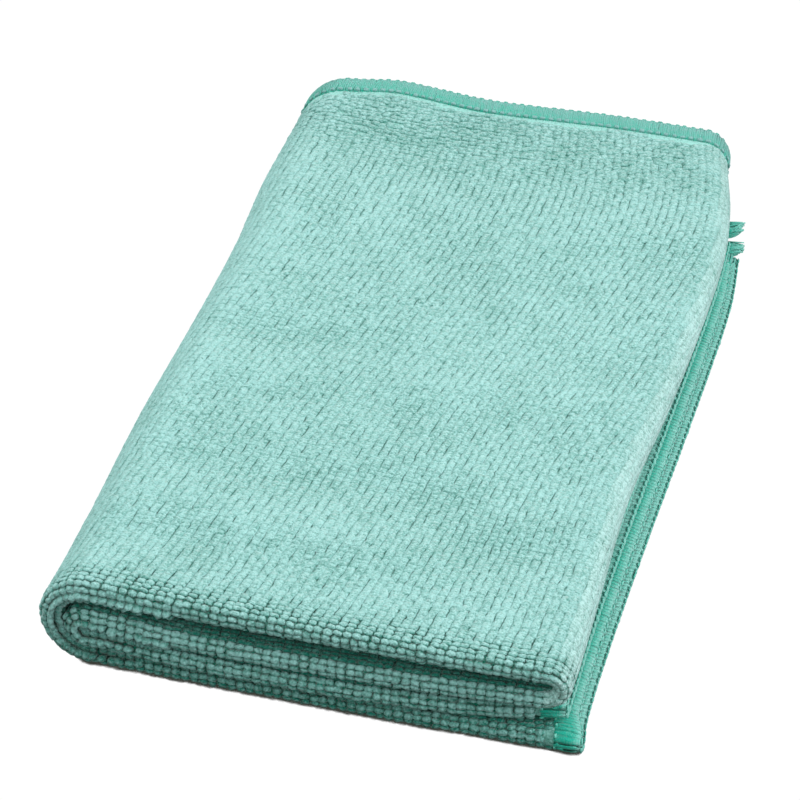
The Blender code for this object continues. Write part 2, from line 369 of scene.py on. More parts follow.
def unit(vectors):
    """The vectors, each made one long."""
    return vectors / np.linalg.norm(vectors, axis=-1, keepdims=True)


CHAIN_STEP, RUN_STEP = 0.004, 0.00015     # over which the sheet's directions are taken


def frame_on(chain, run):
    """On the sheet: a point, the directions along the chain and along the run, and outwards.

    Outwards is the side that shows when the doubled cloth is folded up.
    """
    along = fold(chain + CHAIN_STEP, run) - fold(chain - CHAIN_STEP, run)
    down = fold(chain, run + RUN_STEP) - fold(chain, run - RUN_STEP)
    return fold(chain, run), unit(along), unit(down), unit(np.cross(down, along))


# Soft ridges and troughs of the top panel, where the folded layers below press through it
# and the cloth keeps its old creases. From and to are on the table, in millimetres.
CREASES = (
    # from x,   y     to x,   y    width  height
    (-40.0, 66.0, -14.0, 68.0, 9.0, -0.36),
    (-12.0, 57.0, 13.0, 60.0, 7.0, -0.24),
    (33.0, 47.0, 43.0, 50.0, 5.0, 0.20),
    (-5.0, 25.0, 21.0, 22.0, 7.0, -0.12),
    (-44.0, -5.0, -16.0, -4.0, 4.5, -0.26),
    (-37.0, -17.0, -26.0, -18.0, 5.0, 0.18),
    (0.0, -13.0, 36.0, -11.0, 7.0, 0.20),
    (32.0, 9.0, 41.0, 22.0, 6.0, 0.14),
    (-44.0, -47.0, 10.0, -46.0, 5.5, -0.24),
    (-22.0, -60.0, 12.0, -62.0, 6.0, 0.22),
    (14.0, -45.0, 25.0, -58.0, 6.0, -0.24),
    (26.0, -59.0, 44.0, -56.0, 6.0, -0.26),
    (-44.0, -70.0, -24.0, -69.0, 5.0, -0.24),
)
TOP_HEIGHT = 0.0165, 0.0008               # only the top panel lies as high as this


def relief(points, outward):
    """Height of the creases in mm at points of the top panel, 0 on every other layer."""
    x, y = points[..., 0] * 1000.0, points[..., 1] * 1000.0
    height = np.zeros(x.shape)
    for x0, y0, x1, y1, width, rise in CREASES:
        dx, dy = x1 - x0, y1 - y0
        share = np.clip(((x - x0) * dx + (y - y0) * dy) / (dx * dx + dy * dy), 0.0, 1.0)
        away = np.hypot(x - x0 - share * dx, y - y0 - share * dy)
        height += rise * np.exp(-(away / width) ** 2)
    on_top = ramp(points[..., 2], *TOP_HEIGHT) * smooth(outward[..., 2] * 2.0 - 1.0)
    return height * on_top


def on_cloth(chain, run):
    """As frame_on, with the creases raised."""
    point, along, down, outward = frame_on(chain, run)
    return point + 0.001 * outward * relief(point, outward)[..., None], along, down, outward


# The grid of the sheet: steps along the chain, rows along the first layer, round the nose
# and back along the second.
CHAIN_STEPS = {
    "bottom": 30, "outer": 20, "top": 44, "right": 18, "upper": 24, "inner": 16, "lower": 30,
}
HEM_ROWS = (0.0, 0.0005, 0.0015, 0.0035, 0.0048, 0.0056, 0.0064, PILE_START)
LAYER_ROWS = 56
NOSE_ROWS = 10
CORE = (
    # from the edge, half of the sheet's thickness under the pile and the threads
    (0.0, 0.00030), (0.0006, 0.00055), (0.0046, 0.00058),
    (0.0055, 0.00034), (0.0064, 0.00042), (0.0080, 0.00028),
)
CORE_RISE, CORE_RUN = 0.00014, (0.006, 0.004)   # how much more it is away from the noses' tips
PILE_EDGE = 0.0064, 0.0010                # how far in from the edge the pile begins
LOWEST_GROUND = 0.0002                    # the ground stays as high as this over the floor
MAP_WIDTH = 0.49                          # of the map's two halves, one for each side of the cloth

columns = []
for place, name in enumerate(CHAIN):
    shares = np.linspace(0.0, 1.0, CHAIN_STEPS[name], endpoint=False)
    hem_shares = np.array(HEM_ROWS) / PANEL_LENGTH
    if name == "bottom":
        shares = np.append(hem_shares[:-1], hem_shares[-1] + (1.0 - hem_shares[-1]) * shares)
    if name == "lower":
        shares = np.append((1.0 - hem_shares[-1]) * shares, 1.0 - hem_shares[::-1])
    columns.append(place + shares)
columns = np.concatenate(columns)
grid_run = []
for chain in columns:
    _, _, radius = strip_ends(chain)
    turn_length = math.pi / 2.0 * radius
    hem_1, hem_2 = reach(chain, FIRST), reach(chain, SECOND)
    layer_1 = np.linspace(-hem_1 + HEM_ROWS[-1], -turn_length, LAYER_ROWS)
    nose = np.linspace(-turn_length, turn_length, NOSE_ROWS + 1)[1:-1]
    layer_2 = np.linspace(turn_length, hem_2 - HEM_ROWS[-1], LAYER_ROWS)
    start_rows, end_rows = np.array(HEM_ROWS[:-1]) - hem_1, hem_2 - np.array(HEM_ROWS[-2::-1])
    grid_run.append(np.concatenate([start_rows, layer_1, nose, layer_2, end_rows]))
grid_run = np.array(grid_run)
grid_chain = np.repeat(columns[:, None], grid_run.shape[1], axis=1)
grid_point, _, _, grid_out = on_cloth(grid_chain, grid_run)
grid_edge = from_edge(grid_chain, grid_run)
under_pile = ramp(grid_edge, *PILE_EDGE)
fuller = ramp(np.abs(grid_run), *CORE_RUN) * under_pile
half = (profile(grid_edge, CORE) + CORE_RISE * fuller)[..., None]
column_count, row_count = grid_run.shape
sheet_points = np.concatenate([
    (grid_point + grid_out * half).reshape(-1, 3), (grid_point - grid_out * half).reshape(-1, 3)
])

grid_index = np.arange(column_count * row_count).reshape(column_count, row_count)
other_side = column_count * row_count
quads = np.stack([
    grid_index[:-1, :-1], grid_index[:-1, 1:], grid_index[1:, 1:], grid_index[1:, :-1]
], axis=-1).reshape(-1, 4)
rim = np.concatenate([
    grid_index[:, 0], grid_index[-1, 1:], grid_index[-2::-1, -1], grid_index[0, -2:0:-1]
])
rim_next = np.roll(rim, -1)
rim_quads = np.stack([rim, rim_next, rim_next + other_side, rim + other_side], axis=-1)
sheet_faces = np.concatenate([quads, quads[:, ::-1] + other_side, rim_quads])


def make_piece(name, points, faces, material, uv, values, lowest=0.0):
    """An object from arrays of points and faces, with its map and its point values from 0 to 1."""
    points = np.reshape(points, (-1, 3))
    points[:, 2] = np.maximum(points[:, 2], lowest)
    mesh = bpy.data.meshes.new(name)
    mesh.from_pydata(points.tolist(), [], [list(face) for face in faces])
    mesh.polygons.foreach_set("use_smooth", [True] * len(mesh.polygons))
    corner_points = np.empty(len(mesh.loops), dtype=np.int32)
    mesh.loops.foreach_get("vertex_index", corner_points)
    layer = mesh.uv_layers.new(name="OFBake")
    layer.data.foreach_set("uv", uv[corner_points].astype(np.float32).ravel())
    for key, numbers in values.items():
        store = mesh.attributes.new(key, "FLOAT", "POINT")
        store.data.foreach_set("value", np.clip(numbers, 0.0, 1.0).astype(np.float32).ravel())
    mesh.materials.append(material)
    piece = bpy.data.objects.new(name, mesh)
    bpy.context.scene.collection.objects.link(piece)
    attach(piece, "root")
    return piece


# The fibre finish, which the pile, the ground and the threads share: colour that drifts
# from place to place and from one loop to the next, and fine fibres.
DRIFT_SCALE, BLOTCH_SCALE = 90.0, 700.0
FIBRE_RANGE, FIBRE_CONTRAST, FIBRE_HEIGHT = (0.3, 0.7), 0.36, 0.0005
FIBRE_ROUGHNESS, FIBRE_SHINE, SHEEN_ROUGHNESS = 0.92, 0.25, 0.5
fibre = bpy.data.node_groups.new("fibre", "ShaderNodeTree")
for socket, kind in (
    ("Light Colour", "NodeSocketColor"), ("Deep Colour", "NodeSocketColor"),
    ("Depth", "NodeSocketFloat"), ("Fibre Size", "NodeSocketFloat"), ("Drift", "NodeSocketFloat"),
):
    fibre.interface.new_socket(socket, in_out="INPUT", socket_type=kind)
fibre.interface.new_socket("Color", in_out="OUTPUT", socket_type="NodeSocketColor")
fibre.interface.new_socket("Height", in_out="OUTPUT", socket_type="NodeSocketFloat")


def noise(scale, detail, roughness):
    """The output of one noise in the fibre group."""
    inputs = {"Vector": coordinates, "Scale": scale, "Detail": detail, "Roughness": roughness}
    return add_node(fibre, "ShaderNodeTexNoise", inputs).outputs["Fac"]


def sum_node(operation, first, second, **settings):
    """The output of one sum in the fibre group."""
    terms = {0: first, 1: second}
    return add_node(fibre, "ShaderNodeMath", terms, operation=operation, **settings).outputs[0]


given = fibre.nodes.new("NodeGroupInput").outputs
coordinates = add_node(fibre, "ShaderNodeTexCoord").outputs["Object"]
fibres = noise(given["Fibre Size"], 2.0, 0.6)
two_sizes = sum_node("ADD", noise(DRIFT_SCALE, 3.0, 0.5), noise(BLOTCH_SCALE, 2.0, 0.5))
drifted = sum_node("MULTIPLY", sum_node("SUBTRACT", two_sizes, 1.0), given["Drift"])
fine = add_node(fibre, "ShaderNodeMapRange", {
    "Value": fibres, "From Min": FIBRE_RANGE[0], "From Max": FIBRE_RANGE[1],
    "To Min": -FIBRE_CONTRAST, "To Max": FIBRE_CONTRAST,
})
spread = sum_node("ADD", drifted, fine.outputs[0])
deep = sum_node("ADD", given["Depth"], spread, use_clamp=True)
mixed = add_node(fibre, "ShaderNodeMix", {
    0: deep, 6: given["Light Colour"], 7: given["Deep Colour"],
}, data_type="RGBA")
add_node(fibre, "NodeGroupOutput", {"Color": mixed.outputs[2], "Height": fibres})


def fibre_material(name, light, sheen_strip, deep_colour, fibre_size, drift, bump, sheen):
    """Matt fibre. Its point values: depth, 1 deep in the pile, where the deep colour paints shade,
    and the share of the pale strip, 1 where the fibre is painted pale as a sheen.
    """
    material = bpy.data.materials.new(name)
    material.use_nodes = True
    tree = material.node_tree
    shader = tree.nodes["Principled BSDF"]
    depth = add_node(tree, "ShaderNodeAttribute", attribute_name="depth")
    how_sheen_lit = add_node(tree, "ShaderNodeAttribute", attribute_name="sheen_strip")
    tips = add_node(tree, "ShaderNodeMix", {
        0: how_sheen_lit.outputs["Fac"], 6: (*light, 1.0), 7: (*sheen_strip, 1.0),
    }, data_type="RGBA")
    look = add_node(tree, "ShaderNodeGroup", {
        "Light Colour": tips.outputs[2], "Deep Colour": (*deep_colour, 1.0),
        "Depth": depth.outputs["Fac"], "Fibre Size": fibre_size, "Drift": drift,
    }, node_tree=fibre)
    bumped = add_node(tree, "ShaderNodeBump", {
        "Height": look.outputs["Height"], "Strength": bump, "Distance": FIBRE_HEIGHT,
    })
    tree.links.new(look.outputs["Color"], shader.inputs["Base Color"])
    tree.links.new(bumped.outputs["Normal"], shader.inputs["Normal"])
    shader.inputs["Roughness"].default_value = FIBRE_ROUGHNESS
    shader.inputs["Specular IOR Level"].default_value = FIBRE_SHINE
    shader.inputs["Sheen Weight"].default_value = sheen
    shader.inputs["Sheen Roughness"].default_value = SHEEN_ROUGHNESS
    return material


# The ground's pale colour, and its deep colour, which is painted shade under the loops and threads.
GROUND_LIGHT = (0.380, 0.660, 0.640)
GROUND_IN_SHADE = (0.006, 0.150, 0.105)
ground_finish = fibre_material(
    "knitted_ground", GROUND_LIGHT, GROUND_LIGHT, GROUND_IN_SHADE,
    fibre_size=2600.0, drift=0.3, bump=0.4, sheen=0.1,
)

# How deep the ground's colour is, as painted shade under the threads and loops over it:
# middling under the hems, none in the bare strip inside the far hems, and deep under the pile,
# but less so away from the noses' tips.
HEM_GROUND = 0.5
BARE_EDGE = 0.0048, 0.0008
PILE_GROUND = 0.8
SIDE_PALER = 0.3           # how much less the pile's ground adds next to the side hems
OPEN_GROUND = 0.36         # the share of its depth that is left away from the noses' tips
NEAR_TIP = 0.014, -0.006
SAME = 0.0001              # distances from two edges that differ by less are the same
at_side = from_side(grid_chain) < grid_edge + SAME
bare_strip = ramp(grid_edge, *BARE_EDGE) * ~at_side
grid_shade = HEM_GROUND - HEM_GROUND * bare_strip
grid_shade = grid_shade + (PILE_GROUND - SIDE_PALER * at_side) * under_pile
near_tip = ramp(np.abs(grid_run), *NEAR_TIP)
grid_shade = grid_shade * (OPEN_GROUND + (1.0 - OPEN_GROUND) * near_tip)
map_u = (grid_chain / END).reshape(-1)
map_v = np.repeat(np.linspace(0.0, 1.0, row_count)[None], column_count, axis=0).reshape(-1)
sheet_uv = np.concatenate([
    np.stack([MAP_WIDTH * map_u, map_v], axis=-1),
    np.stack([1.0 - MAP_WIDTH + MAP_WIDTH * map_u, map_v], axis=-1),
])
cloth = make_piece(
    "cloth_sheet", sheet_points, sheet_faces, ground_finish, sheet_uv,
    {"depth": np.tile(grid_shade.reshape(-1), 2)}, lowest=LOWEST_GROUND,
)
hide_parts("cloth")

# ---- The pile ---------------------------------------------------------------------------
# Short loops of soft microfibre yarn, knitted into the sheet in lengthwise ribs. Each loop
# is a small leaning pillow; one is modelled and copied, and each copy is a little different.
PILE_LIGHT = (0.425, 0.680, 0.690)
# A pale colour painted round the right fold as the sheen of light on its pile.
SHEEN_STRIP_LIGHT = (0.580, 0.790, 0.805)
# The deep colour stands for painted shade deep among the loops.
PILE_IN_SHADE = (0.007, 0.200, 0.155)
RIB_PITCH = 0.00172        # from rib to rib
LOOP_PITCH = 0.00116       # from loop to loop along a rib
LOOP_WIDTH = 0.00203
LOOP_LENGTH = 0.00128
LOOP_HEIGHT = 0.00052
MOUTH_HEIGHT = 0.00125     # the same where the mouth on the left is open
LOOP_ROOT = 0.00026        # where a loop's foot lies above the middle of the sheet
LOOP_LEAN = 0.10
SQUARENESS = 0.62          # below 1, a loop's round plan turns into a rounded square
NOSE_SPREAD = 1.25         # how much further apart the rows stand round the noses
BARE_HEM = 0.0061          # no loops nearer to the far hem's edge than this
BARE_SIDE = 0.0056         # nor to a side hem's edge than this
SPARE_RIBS = 20            # ribs past either end of the chain, which lean back on to it
SWAY = 0.00012             # how far a rib wanders sideways, in two waves of these lengths
SWAY_WAVES = 0.0083, 0.0051
SLANT_STEP = 0.001         # the step along a rib over which its slant is taken
HALF_WAY = 0.08            # from the noses' tips to half way along the cloth
BALL_CUT, BALL_WELD = -0.02, 0.05         # where the model ball is cut, and what is welded
RIB_SAMPLES, LEAN_SAMPLES = 1401, 200
CELL_FILL = 0.47           # how much of its half cell of the map a pillow fills

pile_finish = fibre_material(
    "looped_microfibre", PILE_LIGHT, SHEEN_STRIP_LIGHT, PILE_IN_SHADE,
    fibre_size=2200.0, drift=0.5, bump=1.0, sheen=0.40,
)


def model_loop(sides, rings):
    """The pillow of one loop: points of a half ball of radius 1, and its faces."""
    bpy.ops.object.select_all(action="DESELECT")
    bpy.ops.mesh.primitive_uv_sphere_add(segments=sides, ring_count=rings, radius=1.0)
    ball = bpy.context.object
    bpy.ops.object.mode_set(mode="EDIT")
    bpy.ops.mesh.select_all(action="SELECT")
    bpy.ops.mesh.bisect(
        plane_co=(0.0, 0.0, BALL_CUT), plane_no=(0.0, 0.0, 1.0), use_fill=True, clear_inner=True
    )
    bpy.ops.mesh.select_all(action="SELECT")
    bpy.ops.mesh.remove_doubles(threshold=BALL_WELD)
    bpy.ops.transform.rotate(value=math.pi / sides, orient_axis="Z", center_override=(0.0, 0.0, 0.0))
    bpy.ops.mesh.normals_make_consistent(inside=False)
    bpy.ops.object.mode_set(mode="OBJECT")
    shape = np.array([vertex.co[:] for vertex in ball.data.vertices])
    faces = [list(face.vertices) for face in ball.data.polygons]
    bpy.data.objects.remove(ball)
    shape[:, :2] = np.sign(shape[:, :2]) * np.abs(shape[:, :2]) ** SQUARENESS
    shape[:, 2] = np.clip(shape[:, 2], 0.0, 1.0)
    return shape, faces


loop = model_loop(sides=8, rings=4)
plain_loop = model_loop(sides=6, rings=2)


def rib_positions():
    """Places along the chain, and how far each is from its start.

    The distance runs over the loops' tops half way along the cloth, and from the upper
    panel on, which shows only at its nose, along the noses' tips.
    """
    places = np.linspace(0.0, END, RIB_SAMPLES)
    middle, _, _, outward = frame_on(places, np.full_like(places, -HALF_WAY))
    lines = middle + outward * (LOOP_ROOT + LOOP_HEIGHT), fold(places, np.zeros_like(places))
    over_tops, along_tips = (np.linalg.norm(np.diff(line, axis=0), axis=1) for line in lines)
    steps = np.where(places[1:] < UPPER, over_tops, along_tips)
    return places, np.append(0.0, np.cumsum(steps))


# How far the ribs lean towards +X on their way to the far end, in degrees.
LEAN = (
    # station  left  middle right
    (-0.085, 7.0, 9.0, 2.0),
    (-0.070, 7.0, 9.0, 3.5),
    (-0.050, 8.5, 7.5, 4.5),
    (-0.028, 8.0, 6.0, 6.0),
    (-0.005, 9.0, 7.5, 8.0),
    (0.020, 7.5, 8.0, 9.5),
    (0.043, 8.5, 8.0, 9.0),
    (0.064, 2.0, 1.5, 6.0),
    (0.088, 0.0, 0.0, 4.0),
)
chain_places, rib_places = rib_positions()
top_start, top_end = np.interp((TOP, RIGHT), chain_places, rib_places)
stations, *leans = np.array(LEAN).T
lean_stations = np.linspace(stations[0], stations[-1], LEAN_SAMPLES)
lean_shift = []
for degrees in leans:
    slopes = np.tan(np.radians(np.interp(lean_stations[1:], stations, degrees)))
    lean_shift.append(np.append(0.0, np.cumsum(slopes * np.diff(lean_stations))))


def lean_at(rib, from_nose):
    """How far a rib has moved along the chain, at a distance from the nose's tip."""
    station = stations[0] + from_nose
    left, middle, right = (np.interp(station, lean_stations, shift) for shift in lean_shift)
    across = np.clip((rib - top_start) / (top_end - top_start), 0.0, 1.0) * 2.0
    left_half = left + (middle - left) * across
    right_half = middle + (right - middle) * (across - 1.0)
    return np.where(across < 1.0, left_half, right_half)


def sway_at(rib, row, layer):
    """How far a rib wanders to the side: two slow waves, at another beat for each rib."""
    beat = np.sin(rib * 7919.0 + layer) * 40.0
    first, second = (row * 2.0 * math.pi / wave for wave in SWAY_WAVES)
    return SWAY * (0.6 * np.sin(first + beat) + 0.4 * np.sin(second + beat * 1.7))


def loops_between(first_chain, last_chain, nearest, furthest, layer):
    """The loops of one layer between two distances from the nose.

    For each: its chain, its run, its slant and how close its rib lies to the next.
    """
    ribs = np.arange(-SPARE_RIBS, int(rib_places[-1] / RIB_PITCH) + SPARE_RIBS) * RIB_PITCH
    rows = (np.arange(int(nearest / LOOP_PITCH), int(furthest / LOOP_PITCH) + 1) + 0.5) * LOOP_PITCH
    rib, row = (axis.reshape(-1) for axis in np.meshgrid(ribs, rows, indexing="ij"))
    moved = rib + lean_at(rib, row) + sway_at(rib, row, layer)
    ahead = rib + lean_at(rib, row + SLANT_STEP) + sway_at(rib, row + SLANT_STEP, layer)
    slant = (ahead - moved) / SLANT_STEP
    close = 1.0 + (lean_at(rib + RIB_PITCH, row) - lean_at(rib, row)) / RIB_PITCH
    chain = np.interp(moved, rib_places, chain_places, left=-1.0, right=END + 1.0)
    inside = (chain >= first_chain) & (chain < last_chain)
    row, chain, slant, close = (part[inside] for part in (row, chain, slant, close))
    _, _, radius = strip_ends(chain)
    turn = math.pi / 2.0 * radius
    outer_turn = math.pi / 2.0 * (radius + LOOP_ROOT + LOOP_HEIGHT) / NOSE_SPREAD
    run = layer * np.where(row < outer_turn, row * turn / outer_turn, row - outer_turn + turn)
    keep = (from_side(chain) > BARE_SIDE) & (reach(chain, run) - np.abs(run) > BARE_HEM)
    return chain[keep], run[keep], slant[keep], close[keep]


# Where the pile changes, each as a ramp: along the run from the noses' tips, along the
# chain, or along X or Y. The loops stand apart on the noses and at the far end, there most
# of all on the left, and merge to flat ribs elsewhere, least in patches, most in creases.
MERGE_RUN, MERGE_Y = (0.0034, 0.0058), (0.074, -0.024)
MERGE_CHAIN = TOP + 0.93, 0.06            # the right fold stretches them flat
FAR_MERGE, FAR_RIGHT_MERGE, FAR_RIGHT_X = 0.15, 0.40, (-0.010, 0.030)
MERGE, PATCH_MERGE, CREASE_MERGE = 0.74, 0.22, 0.8
PATCH_X, PATCH_BEND, PATCH_Y = 190.0, 3.0, 75.0
TIP_RUN = 0.0015, 0.0030                  # the loops are larger and rounder on the noses' tips
LOOSE_Y = 0.076, -0.026                   # they differ more at the far end
SHEEN_STRIP_CHAIN = RIGHT + 0.11, 0.10        # round the right fold they lie lower and flat, and are painted pale as a sheen
# What those do to a loop, as shares of its size, and how much one differs from the next.
MERGED_LONGER, MERGED_LOWER, MERGED_CALM, RIDGE_SIDES = 0.9, 0.32, 0.55, 0.88
TIP_WIDER, TIP_LONGER, TIP_HIGHER, TIP_ROUNDER = 0.03, 0.07, 0.22, 0.35
LOOSE_WIDER, LOOSE_YAW, SHEEN_STRIP_LOWER = 0.08, 1.2, 0.30
RUN_JITTER, LOOSE_RUN_JITTER = 0.000025, 0.00016
RIB_JITTER, LOOSE_RIB_JITTER = 0.00008, 0.00018
YAW_JITTER, LEAN_JITTER, SIDE_LEAN_JITTER = 0.10, 0.20, 0.16
WIDTH_JITTER, LENGTH_JITTER, HEIGHT_JITTER, LUMPS = 0.06, 0.08, 0.10, 0.08
# How deep the pile's colour is, a little different for each loop, with painted shade down a
# loop's sides, in the mouths between the folds, lower down towards the table and at the far
# end, where the loops stand open; and painted light on the noses' crests, along the outer
# fold and on the creases' ridges, with painted shade in their troughs.
OWN_SHADE, PILE_SHADE, CREASE_LIGHT = (-0.06, 0.08), 0.08, 0.20
SIDE_SHADE, NOSE_SIDE_SHADE, NOSE_RUN = 0.58, 0.34, (0.004, 0.005)
MOUTH_SHADE, CREST, WIDER_CREST, MOUTH_BLEND = 1.0, 0.0012, 0.0003, 0.0013
WIDER_CHAIN = UPPER + 0.3, 0.6
TIP_LIGHT, TIP_LIGHT_RUN = 0.16, (0.0, 0.0017)
LOW_SHADE, LOW_HEIGHT = 0.46, 0.013
FAR_SHADE = 0.15
OUTER_FOLD_LIGHT, OUTER_FOLD_LIGHT_FROM, OUTER_FOLD_LIGHT_TO = 0.10, (OUTER + 0.5, 0.2), (TOP + 0.1, -0.1)

dice = np.random.default_rng(7)


def merging(chain, run, point, pressed):
    """1 where the loops lie flat and merge to ribs, 0 where they stand apart."""
    x, y, _ = point.T
    from_nose = ramp(np.abs(run), *MERGE_RUN)
    at_far = FAR_MERGE + FAR_RIGHT_MERGE * ramp(x, *FAR_RIGHT_X)
    from_far = at_far + (1.0 - at_far) * ramp(y, *MERGE_Y)
    patches = 0.5 + 0.5 * np.sin(x * PATCH_X + PATCH_BEND * np.sin(y * PATCH_Y))
    over_fold = ramp(chain, *MERGE_CHAIN) * (chain < UPPER)
    flat = np.clip(MERGE + PATCH_MERGE * patches + CREASE_MERGE * pressed, 0.0, 1.0)
    return from_nose * np.maximum(from_far * flat, over_fold)


def loop_depth(chain, run, point, pressed, loose, in_mouths):
    """How deep the colour of each loop is: a random tone of its own, with painted shade and painted
    light added.
    """
    own = dice.uniform(*OWN_SHADE, len(chain)) + PILE_SHADE + FAR_SHADE * loose
    # Painted light along the outer fold, which curves away from the light above.
    own = own - OUTER_FOLD_LIGHT * ramp(chain, *OUTER_FOLD_LIGHT_FROM) * ramp(chain, *OUTER_FOLD_LIGHT_TO)
    # Painted light on the creases' ridges, painted shade in their troughs and lower down towards the
    # table.
    own = own - CREASE_LIGHT * pressed + LOW_SHADE * smooth(1.0 - point[:, 2] / LOW_HEIGHT)
    # Painted shade in the mouths between the folds, and a painted highlight on the noses' tips.
    if in_mouths:
        crest = CREST + WIDER_CREST * ramp(chain, *WIDER_CHAIN)
        own = own + MOUTH_SHADE * ramp(np.abs(run), crest, MOUTH_BLEND)
        own = own - TIP_LIGHT * (1.0 - ramp(np.abs(run), *TIP_LIGHT_RUN))
    return own


def pillow_piece(name, points, model, finish, values):
    """Copies of a loop's pillow, joined in one mesh; points holds one array for each copy.

    On the map each has a cell of its own, in which it is unrolled from its crown.
    """
    shape, shape_faces = model
    count, corners, _ = points.shape
    faces = [[corner + k * corners for corner in face] for k in range(count) for face in shape_faces]
    cells = int(math.ceil(math.sqrt(count)))
    cell = np.stack([np.arange(count) % cells, np.arange(count) // cells], axis=-1)
    plan = shape[:, :2] / (np.abs(shape[:, :2]).max() + 1e-9)
    spoke = np.linalg.norm(plan, axis=-1, keepdims=True) + 1e-9
    from_crown = np.degrees(np.arccos(shape[:, 2:])) / 90.0
    disc = plan / spoke * from_crown
    uv = ((cell[:, None] + 0.5 + CELL_FILL * disc[None]) / cells).reshape(-1, 2)
    return make_piece(name, points, faces, finish, uv, values)


def pile_piece(name, patches, model=loop, height=LOOP_HEIGHT, in_mouths=False):
    """Copies of the loop on patches of the sheet, joined in one mesh."""
    chain, run, slant, close = (np.concatenate(part) for part in zip(*patches))
    shape = model[0]
    count, corners = len(chain), len(shape)
    loose = 1.0 - ramp(fold(chain, run)[:, 1], *LOOSE_Y)
    run = run + dice.normal(0.0, 1.0, count) * (RUN_JITTER + LOOSE_RUN_JITTER * loose)
    aside = dice.normal(0.0, 1.0, count) * (RIB_JITTER + LOOSE_RIB_JITTER * loose)
    chain = chain + aside / PANEL_LENGTH
    point, along, down, outward = on_cloth(chain, run)
    pressed = relief(point, outward)
    on_tip = 1.0 - ramp(np.abs(run), *TIP_RUN)
    merge = merging(chain, run, point, pressed)
    merged = 1.0 + MERGED_LONGER * merge
    calm = 1.0 - MERGED_CALM * merge
    # The strip round the right fold where the loops lie lower and a painted sheen makes them pale.
    sheen_strip = ramp(chain, *SHEEN_STRIP_CHAIN) * (chain < UPPER)

    # How each loop lies, and its size.
    yaw = slant + dice.normal(0.0, YAW_JITTER, count) * calm * (1.0 + LOOSE_YAW * loose)
    length_way = unit(down * np.sign(run)[:, None] + along * yaw[:, None])
    width_way = np.cross(outward, length_way)
    wide = LOOP_WIDTH / 2.0 * close * (1.0 + LOOSE_WIDER * loose) * (1.0 + TIP_WIDER * on_tip)
    wide = wide * dice.normal(1.0, WIDTH_JITTER, count)
    long = LOOP_LENGTH / 2.0 * merged * (1.0 + TIP_LONGER * on_tip)
    long = long * dice.normal(1.0, LENGTH_JITTER, count)
    high = height * (1.0 + HEIGHT_JITTER * calm * np.clip(dice.normal(0.0, 1.0, count), -3.0, 3.0))
    high = high * (1.0 - MERGED_LOWER * merge) * (1.0 - SHEEN_STRIP_LOWER * sheen_strip)
    high = high * (1.0 + TIP_HIGHER * on_tip)
    lean = (LOOP_LEAN + dice.normal(0.0, LEAN_JITTER, count)) / merged
    side_lean = dice.normal(0.0, SIDE_LEAN_JITTER, count) * calm
    lumps = dice.normal(0.0, LUMPS, (count, corners, 3)) * calm[:, None, None]

    # Its own shape: rounder on a nose's tip, a length of straight ridge where it merges.
    x, y, z = (shape[None] + lumps).transpose(2, 0, 1)
    rounder = (1.0 + TIP_ROUNDER * on_tip)[:, None]
    x, y = np.sign(x) * np.abs(x) ** rounder, np.sign(y) * np.abs(y) ** rounder
    ridge = 1.0 - RIDGE_SIDES * np.abs(shape[:, 0]) ** 3
    z = z + merge[:, None] * (ridge - shape[:, 2])[None]
    z = np.where(shape[None, :, 2] > 0.0, z, 0.0)
    across = (x + side_lean[:, None] * z * z) * wide[:, None]
    lengthwise = (y - lean[:, None] * z * z) * long[:, None]
    up = LOOP_ROOT + MERGED_LOWER * height * merge[:, None] + z * high[:, None]
    points = (
        point[:, None] + width_way[:, None] * across[..., None]
        + length_way[:, None] * lengthwise[..., None] + outward[:, None] * up[..., None]
    )

    own = loop_depth(chain, run, point, pressed, loose, in_mouths)
    # Painted shade down each loop's sides, deeper on the noses.
    side_shade = SIDE_SHADE + NOSE_SIDE_SHADE * (1.0 - ramp(np.abs(run), *NOSE_RUN))
    depth = (1.0 - shape[:, 2])[None] * side_shade[:, None] + own[:, None]
    values = {"depth": depth, "sheen_strip": np.repeat(sheen_strip, corners)}
    return pillow_piece(name, points, model, pile_finish, values)


WHOLE_RUN = 0.20           # more than the cloth's length
TURN = 0.0085              # how far from the noses' tips the mouths between them show
MIDWAY = 0.085             # where the top's pile is parted into two pieces
pile = [
    pile_piece("pile_top_near", [loops_between(TOP, RIGHT, 0.0, MIDWAY, FIRST)]),
    pile_piece("pile_top_far", [loops_between(TOP, RIGHT, MIDWAY, WHOLE_RUN, FIRST)]),
    pile_piece("pile_outer_fold", [loops_between(OUTER, TOP, 0.0, WHOLE_RUN, FIRST)]),
    pile_piece("pile_right_fold", [loops_between(RIGHT, UPPER, 0.0, WHOLE_RUN, FIRST)]),
    pile_piece("pile_noses", [
        loops_between(UPPER, UPPER + 0.8, 0.0, TURN, FIRST),
        loops_between(LOWER + 0.1, END, 0.0, TURN, FIRST),
        loops_between(BOTTOM, BOTTOM + 0.9, 0.0, TURN, SECOND),
        loops_between(TOP + 0.2, END, 0.0, TURN, SECOND),
    ], in_mouths=True),
    pile_piece("pile_left_mouth", [
        loops_between(UPPER + 0.8, LOWER + 0.1, 0.0, TURN, FIRST),
        loops_between(BOTTOM + 0.9, TOP + 0.2, 0.0, TURN, SECOND),
    ], height=MOUTH_HEIGHT, in_mouths=True),
    pile_piece(
        "pile_underside", [loops_between(BOTTOM, OUTER, 0.0, WHOLE_RUN, FIRST)], model=plain_loop
    ),
]

